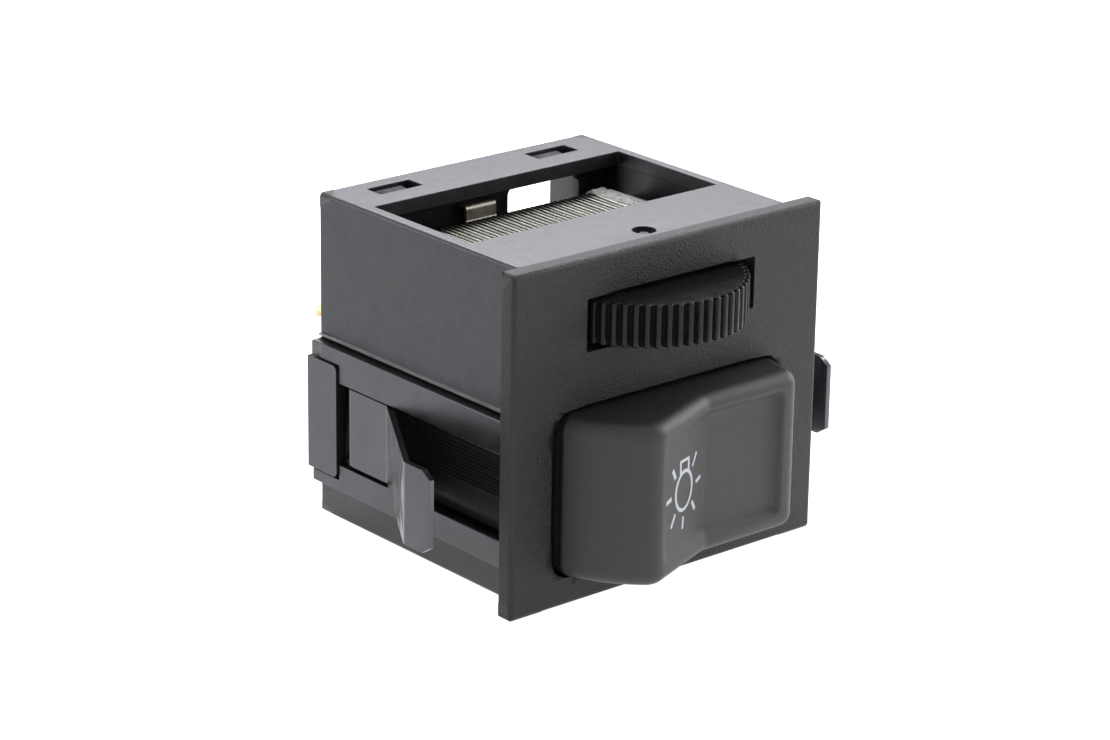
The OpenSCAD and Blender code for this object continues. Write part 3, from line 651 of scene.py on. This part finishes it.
# Lamp symbol. White ink pad-printed on the slope of the rocker: a bulb, its cap and seven rays. It is
# laid out flat, as distances down the slope and heights, then pressed on to the rocker's face.
TOP_OF_SLOPE = Vector((-11.3, -10.6))
DOWN_SLOPE = Vector((math.cos(math.radians(slope)), math.sin(math.radians(slope))))


def add_ink(outline):
    """A flat patch of ink just in front of the slope, with the given corners."""
    bpy.ops.mesh.primitive_circle_add(vertices=len(outline), radius=MM, fill_type="NGON")
    patch = bpy.context.object
    for vertex, (distance, z) in zip(patch.data.vertices, outline):
        place = TOP_OF_SLOPE + DOWN_SLOPE * distance
        vertex.co = mm(place.x, place.y + FRONT - 0.2, z)
    return patch


def add_line_of_ink(start, end, width):
    """A straight line of ink in four patches, so that it can follow the slope."""
    start, end = Vector(start), Vector(end)
    along = (end - start).normalized()
    side = Vector((-along.y, along.x)) * width / 2
    stops = [start.lerp(end, i / 4) for i in range(5)]
    return [add_ink((a + side, b + side, b - side, a - side)) for a, b in zip(stops, stops[1:])]


bulb, bulb_radii, line, steps = Vector((7.84, 14.95)), (2.6, 2.82), 0.48, 56
inks = []
for i in range(steps):
    turns = (math.tau * i / steps, math.tau * (i + 1) / steps)
    rays = [Vector((math.cos(turn), math.sin(turn))) for turn in turns]
    outer = [bulb + Vector((bulb_radii[0] * ray.x, bulb_radii[1] * ray.y)) for ray in rays]
    inks.append(add_ink([outer[0], outer[1], outer[1] - rays[1] * line, outer[0] - rays[0] * line]))
for start, end, width in (
    ((6.73, 17.3), (6.65, 19.25), line), ((6.5, 19.1), (9.2, 18.93), 0.4),
    ((9.0, 19.1), (9.08, 17.2), line), ((11.36, 18.95), (10.25, 17.35), 0.42),
    ((12.75, 15.2), (11.4, 14.84), 0.5), ((4.5, 18.7), (5.3, 17.3), 0.6),
    ((2.85, 14.72), (4.32, 14.95), 0.6), ((10.32, 12.6), (11.28, 11.22), 0.56),
    ((5.43, 12.5), (4.35, 10.95), 0.48), ((7.77, 11.42), (7.64, 9.78), 0.48),
):
    inks += add_line_of_ink(start, end, width)
bpy.ops.object.select_all(action="DESELECT")
for ink in inks:
    ink.select_set(True)
symbol = inks[0]
bpy.context.view_layer.objects.active = symbol
bpy.ops.object.join()
symbol.name = "lamp_symbol"
bpy.ops.object.mode_set(mode="EDIT")
bpy.ops.mesh.select_all(action="SELECT")
bpy.ops.mesh.remove_doubles(threshold=1e-6)
bpy.ops.object.mode_set(mode="OBJECT")
bpy.ops.object.transform_apply()
press = symbol.modifiers.new("press", "SHRINKWRAP")
press.target = rocker
press.wrap_method = "NEAREST_SURFACEPOINT"
press.wrap_mode = "ABOVE_SURFACE"
press.offset = 0.012 * MM
layer = symbol.modifiers.new("layer", "SOLIDIFY")
layer.thickness = 0.03 * MM
layer.offset = 0
apply_and_smooth(symbol)
white_ink, tree, shader = new_material("white_ink")
thin_ink = add_noise(tree, 0.35, 3)
coat(tree, shader, tint=(thin_ink, (0.64, 0.67, 0.73), (0.80, 0.83, 0.89)),
     roughness=(thin_ink, 0.45, 0.6), relief=0.004)
symbol.data.materials.append(white_ink)
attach(symbol, "rocker")


# Thumbwheel. A black moulded wheel with sixty ribs round its rim for the thumb, dull on top and in
# the grooves. Its outline is turned on a lathe and the grooves between the ribs are then pressed in;
# six spokes stiffen it, and two pegs below hold the wiper.
WHEEL_Y, WHEEL_Z = pin_behind, 33.9
RIBS, STEPS_PER_RIB = 60, 14
wheel_profile = [
    (1.3, 5.55), (1.45, 5.7), (13.15, 5.7), (13.42, 5.66), (13.55, 5.56), (13.6, 5.42),
    (13.6, 4.2), (13.6, 2.85), (13.6, 1.5), (13.6, 0.28), (13.55, 0.14), (13.42, 0.04), (13.15, 0),
    (11.35, 0), (11.2, 0.15), (11.2, 3.5), (11.0, 3.7), (3.4, 3.7), (3.2, 3.5), (3.2, 0.15), (3.05, 0),
    (1.45, 0), (1.3, 0.15),
]
wheel_centre = mm(0, WHEEL_Y + FRONT, 0)
outline = [mm(radius, WHEEL_Y + FRONT, height + WHEEL_Z) for radius, height in wheel_profile]
bpy.ops.object.select_all(action="DESELECT")
bpy.ops.mesh.primitive_plane_add(size=MM)
wheel = bpy.context.object
wheel.name = "dimmer_wheel_moulding"
bpy.ops.object.mode_set(mode="EDIT")
bpy.ops.mesh.select_all(action="SELECT")
bpy.ops.mesh.merge(type="CENTER")
bpy.ops.transform.translate(value=outline[0])
for a, b in zip(outline, outline[1:] + outline[:1]):
    bpy.ops.mesh.extrude_region_move(TRANSFORM_OT_translate={"value": b - a})
bpy.ops.mesh.select_all(action="SELECT")
bpy.ops.mesh.spin(steps=RIBS * STEPS_PER_RIB, angle=math.tau, center=wheel_centre, axis=(0, 0, 1))
bpy.ops.mesh.select_all(action="SELECT")
bpy.ops.mesh.remove_doubles(threshold=1e-7)
bpy.ops.mesh.normals_make_consistent(inside=False)
bpy.ops.object.mode_set(mode="OBJECT")

rim_inside, groove_circle = 13.1, 13.45
groove_half, groove_step, shoulder_depth = 0.34, 0.2, 0.12
for vertex in wheel.data.vertices:
    out = Vector((vertex.co.x, vertex.co.y - wheel_centre.y))
    if out.length < rim_inside * MM:
        continue
    turn = math.atan2(out.y, out.x) / math.tau * RIBS
    across = abs(turn - round(turn)) * math.tau * groove_circle / RIBS
    groove = 0.0
    if across < groove_half:
        groove = groove_step + math.sqrt(groove_half**2 - across**2)
    groove = max(groove, shoulder_depth * ramp(across, 0.52, 0.27))
    out *= 1 - groove * MM / out.length
    vertex.co.x, vertex.co.y = out.x, out.y + wheel_centre.y

spoke_reach, spoke_size, peg_behind = 7.2, (8.4, 1.2, 2.6), WHEEL_Y + 12.4
parts = []
for spoke in range(6):
    turn = math.radians(30 + 60 * spoke)
    out = Vector((math.cos(turn), math.sin(turn))) * spoke_reach
    bpy.ops.mesh.primitive_cube_add(
        size=1, location=mm(out.x, out.y + WHEEL_Y + FRONT, WHEEL_Z + 2.5), rotation=(0, 0, turn),
        scale=mm(*spoke_size))
    parts.append(bpy.context.object)
for x in (-1.2, 1.2):
    parts.append(add_cylinder(0.5, (x, peg_behind, WHEEL_Z - 0.7), (x, peg_behind, WHEEL_Z + 0.3), 24))
select_only(wheel)
for part in parts:
    part.select_set(True)
bpy.ops.object.join()
bpy.ops.object.transform_apply()
apply_and_smooth(wheel)
wheel_black, tree, shader = new_material("wheel_black")
shader.inputs["Specular IOR Level"].default_value = 0.28
cloud = add_noise(tree, 4, 3)
fine = add_noise(tree, 0.1, 1)
coat(tree, shader, tint=(cloud, (0.008, 0.008, 0.008), (0.012, 0.012, 0.012)),
     roughness=(fine, 0.34, 0.42), relief=0.01)
groove_black = satin_black("groove_black", gleam=0.06, smooth=0.6, rough=0.8)


def wheel_finish(face):
    out = (face.center - wheel_centre) / MM
    in_groove = 12.6 < math.hypot(out.x, out.y) < 13.37 and abs(face.normal.z) < 0.5
    return groove_black if in_groove or face.normal.z > 0.9 else wheel_black


lay_finishes(wheel, [wheel_black, groove_black], wheel_finish)
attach(wheel, "wheel")
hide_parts("dimmer_wheel")


# Resistor bar. A flat bar of fired ceramic with a collar at each end lies across the window of the
# deck. It was pressed and fired, so its edges are a little blunt and its skin is porous.
former = merged_copy("resistor_former", "resistor_bar")
ease_edges(former, width=0.15)
fired_ceramic, tree, shader = new_material("fired_ceramic")
cloud = add_noise(tree, 1.6, 4)
pores = add_noise(tree, 0.14, 3)
coat(tree, shader, tint=(cloud, (0.20, 0.19, 0.16), (0.34, 0.32, 0.27)),
     roughness=(pores, 0.6, 0.8), relief=0.02)
former.data.materials.append(fired_ceramic)
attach(former, "case")
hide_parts("resistor_former")


# Resistance wire. Bare round wire is wound on the bar by machine, one layer, turn beside turn. No turn
# lies quite even, so each is shifted a little along the bar.
TURNS, WIRE = 34, 0.44
winding_half, corner_bend, most_shift = 14.08, 1.75, 0.07
bar_back, bar_front, bar_top, bar_bottom = 31.1, 22.2, 39.3, 38.9
random.seed(7)
round_bar = []
for (y, z), start in (
    ((bar_back, bar_top), 0), ((bar_front, bar_top), 90),
    ((bar_front, bar_bottom), 180), ((bar_back, bar_bottom), 270),
):
    round_bar += arc((y, z), corner_bend, start, start + 90, 5)
wire_points = []
shift = 0.0
for turn in range(TURNS):
    held = turn in (0, TURNS - 2, TURNS - 1)
    next_shift = 0.0 if held else random.uniform(-most_shift, most_shift)
    for i, (y, z) in enumerate(round_bar):
        share = i / len(round_bar)
        x = winding_half * (2 * (turn + share) / TURNS - 1)
        wire_points.append((x + shift + (next_shift - shift) * share, y, z))
    shift = next_shift
bpy.ops.curve.primitive_bezier_curve_add()
winding = bpy.context.object
winding.name = "resistance_wire_winding"
winding.data.splines.clear()
spline = winding.data.splines.new("POLY")
spline.points.add(len(wire_points) - 1)
for point, (x, y, z) in zip(spline.points, wire_points):
    point.co = (*mm(x, y + FRONT, z), 1)
winding.data.dimensions = "3D"
winding.data.bevel_depth = WIRE / 2 * MM
winding.data.bevel_resolution = 2
winding.data.use_fill_caps = True
select_only(winding)
bpy.ops.object.convert(target="MESH")
apply_and_smooth(winding, smooth_angle=60)
bare_wire, tree, shader = new_material("bare_wire", metallic=1.0)
turn_to_turn = add_noise(tree, 0.8, 1, (1, 12, 12))
drawn = add_noise(tree, 0.08, 2, (1, 12, 12))
coat(tree, shader, tint=(turn_to_turn, (0.12, 0.118, 0.1), (0.27, 0.265, 0.23)),
     roughness=(drawn, 0.1, 0.18), relief=0.004)
winding.data.materials.append(bare_wire)
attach(winding, "case")
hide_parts("resistor_winding")


# Wrap on the bar's right end. Glass tape, wound over the last turns and crumpled: a rounded block with
# a fine skin, pulled over to the left towards the back and folded by two sizes of waves.
wrap = add_block(13.8, 16.75, 20.5, 32.6, 38.4, 41.05)
wrap.name = "resistor_end_wrap"
select_only(wrap)
bpy.ops.object.transform_apply()
rounding = wrap.modifiers.new("rounding", "BEVEL")
rounding.width, rounding.segments = 0.7 * MM, 3
skin = wrap.modifiers.new("skin", "REMESH")
skin.mode, skin.voxel_size = "VOXEL", 0.14 * MM
apply_modifiers(wrap)
wrap_side, wrap_shoulder = 15.5 * MM, 39.8 * MM
for vertex in wrap.data.vertices:
    to_rear = ramp(vertex.co.y / MM - FRONT, 20.5, 32.5)
    if vertex.co.x < wrap_side:
        vertex.co.x -= 0.45 * to_rear * (wrap_side - vertex.co.x)
    if vertex.co.z > wrap_shoulder:
        vertex.co.z += 0.3 * to_rear * (vertex.co.z - wrap_shoulder)
for size, depth in ((1.3, 0.5), (0.5, 0.3)):
    crumple = bpy.data.textures.new("crumple", "CLOUDS")
    crumple.noise_scale = size * MM
    crumple.noise_depth = 1
    fold = wrap.modifiers.new("fold", "DISPLACE")
    fold.texture = crumple
    fold.texture_coords = "LOCAL"
    fold.strength = depth * MM
    fold.mid_level = 0.5
apply_and_smooth(wrap, smooth_angle=60)
glass_tape, tree, shader = new_material("glass_tape")
stain = add_noise(tree, 1.1, 3)
threads = add_noise(tree, 0.12, 2, (1, 8, 8))
coat(tree, shader, tint=(stain, (0.09, 0.085, 0.07), (0.34, 0.325, 0.29)),
     roughness=(threads, 0.4, 0.6), relief=0.03)
wrap.data.materials.append(glass_tape)
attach(wrap, "case")


# Feed strip. A bent strip of bright plated metal behind the bar brings the current to the winding. It
# was rolled along its length, which left fine lines.
feed = merged_copy("resistor_feed", "resistor_feed_strip")
ease_edges(feed, width=0.07)
plated_strip, tree, shader = new_material("plated_strip", metallic=1.0)
rolled = add_noise(tree, 0.2, 3, (1, 14, 14))
coat(tree, shader, tint=(rolled, (0.34, 0.31, 0.25), (0.74, 0.71, 0.64)),
     roughness=(rolled, 0.3, 0.46), relief=0.0012)
feed.data.materials.append(plated_strip)
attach(feed, "case")
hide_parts("resistor_feed")


# Blade terminals. Eight brass stampings, 0.8 mm thick, pushed through the rear cover: a blade with a
# bevelled tip and a dimple hole, and a contact plate behind it. The rolling left faint lines.
stamped_brass, tree, shader = new_material("stamped_brass", metallic=1.0)
cloud = add_noise(tree, 2.2, 3)
rolled = add_noise(tree, 0.15, 3, (1, 30, 1))
coat(tree, shader, tint=(cloud, (0.60, 0.45, 0.20), (0.80, 0.63, 0.33)),
     roughness=(rolled, 0.22, 0.38), relief=0.003)
for number in range(1, 9):
    terminal = merged_copy(f"terminal_{number}", f"blade_terminal_{number}")
    ease_edges(terminal, width=0.07)
    terminal.data.materials.append(stamped_brass)
    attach(terminal, "case")
    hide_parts(f"terminal_{number}")


# Steel inside. The rocker's pin and the bridges' springs are drawn steel wire and keep their shapes
# from the model. The detent's coil is drawn steel too.
def dress(material, *names):
    """Gives CAD nodes that keep their shapes a new finish."""
    for name in names:
        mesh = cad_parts[name].data
        mesh.materials.clear()
        mesh.materials.append(material)


drawn_steel, tree, shader = new_material("drawn_steel", metallic=1.0)
cloud = add_noise(tree, 1.8, 2)
drawn = add_noise(tree, 0.1, 2, (1, 1, 20))
coat(tree, shader, tint=(cloud, (0.50, 0.50, 0.51), (0.64, 0.64, 0.65)),
     roughness=(drawn, 0.2, 0.36), relief=0.003)
dress(drawn_steel, "rocker_axle", "bridge_spring_upper", "bridge_spring_lower")

coil = merged_copy("detent_spring", "detent_coil_spring")
apply_and_smooth(coil, smooth_angle=60)
coil.data.materials.append(drawn_steel)
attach(coil, "rocker")
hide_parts("detent_spring")
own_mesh(coil)


# Pin of the thumbwheel. A blackened steel pin stands upright in the housing; its end, turned down to
# a smaller diameter, shows in the hole in the deck.
pin_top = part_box("wheel_axle")[1][2]
turned_length, turned_to = 0.8, 0.62
axle = merged_copy(
    "wheel_axle", "wheel_axle_pin",
    z=(pin_top / MM - turned_length, pin_top / MM - turned_length + 0.01),
)
for vertex in axle.data.vertices:
    if vertex.co.z > pin_top - (turned_length - 0.005) * MM:
        vertex.co.x *= turned_to
        vertex.co.y = wheel_centre.y + (vertex.co.y - wheel_centre.y) * turned_to
apply_and_smooth(axle)
blackened_steel, tree, shader = new_material("blackened_steel", metallic=1.0)
cloud = add_noise(tree, 0.8, 3)
tool_marks = add_noise(tree, 0.1, 2)
coat(tree, shader, tint=(cloud, (0.03, 0.03, 0.033), (0.06, 0.06, 0.065)),
     roughness=(tool_marks, 0.4, 0.55), relief=0.003)
axle.data.materials.append(blackened_steel)
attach(axle, "case")
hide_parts("wheel_axle")


# Plastic inside. The detent's plunger and cam and the contact slide are moulded in off-white acetal,
# slippery and slightly translucent. They keep their shapes from the model.
acetal, tree, shader = new_material("acetal")
shader.inputs["Subsurface Weight"].default_value = 0.1
shader.inputs["Subsurface Radius"].default_value = mm(1.2, 1.0, 0.7)
cloud = add_noise(tree, 3, 3)
sheen = add_noise(tree, 0.2, 2)
coat(tree, shader, tint=(cloud, (0.66, 0.63, 0.55), (0.76, 0.73, 0.65)),
     roughness=(sheen, 0.28, 0.4), relief=0.006)
dress(acetal, "detent_plunger", "detent_cam", "contact_slide")


# Contacts inside. The moving bridges and the wheel's collector ring are stamped from the terminals'
# brass, and the wiper is a leaf of phosphor bronze. They keep their shapes from the model.
dress(stamped_brass, "bridge_upper", "bridge_lower", "collector")

spring_bronze, tree, shader = new_material("spring_bronze", metallic=1.0)
cloud = add_noise(tree, 2, 3)
rolled = add_noise(tree, 0.12, 3, (1, 20, 1))
coat(tree, shader, tint=(cloud, (0.52, 0.31, 0.17), (0.70, 0.44, 0.26)),
     roughness=(rolled, 0.22, 0.38), relief=0.003)
dress(spring_bronze, "wiper")
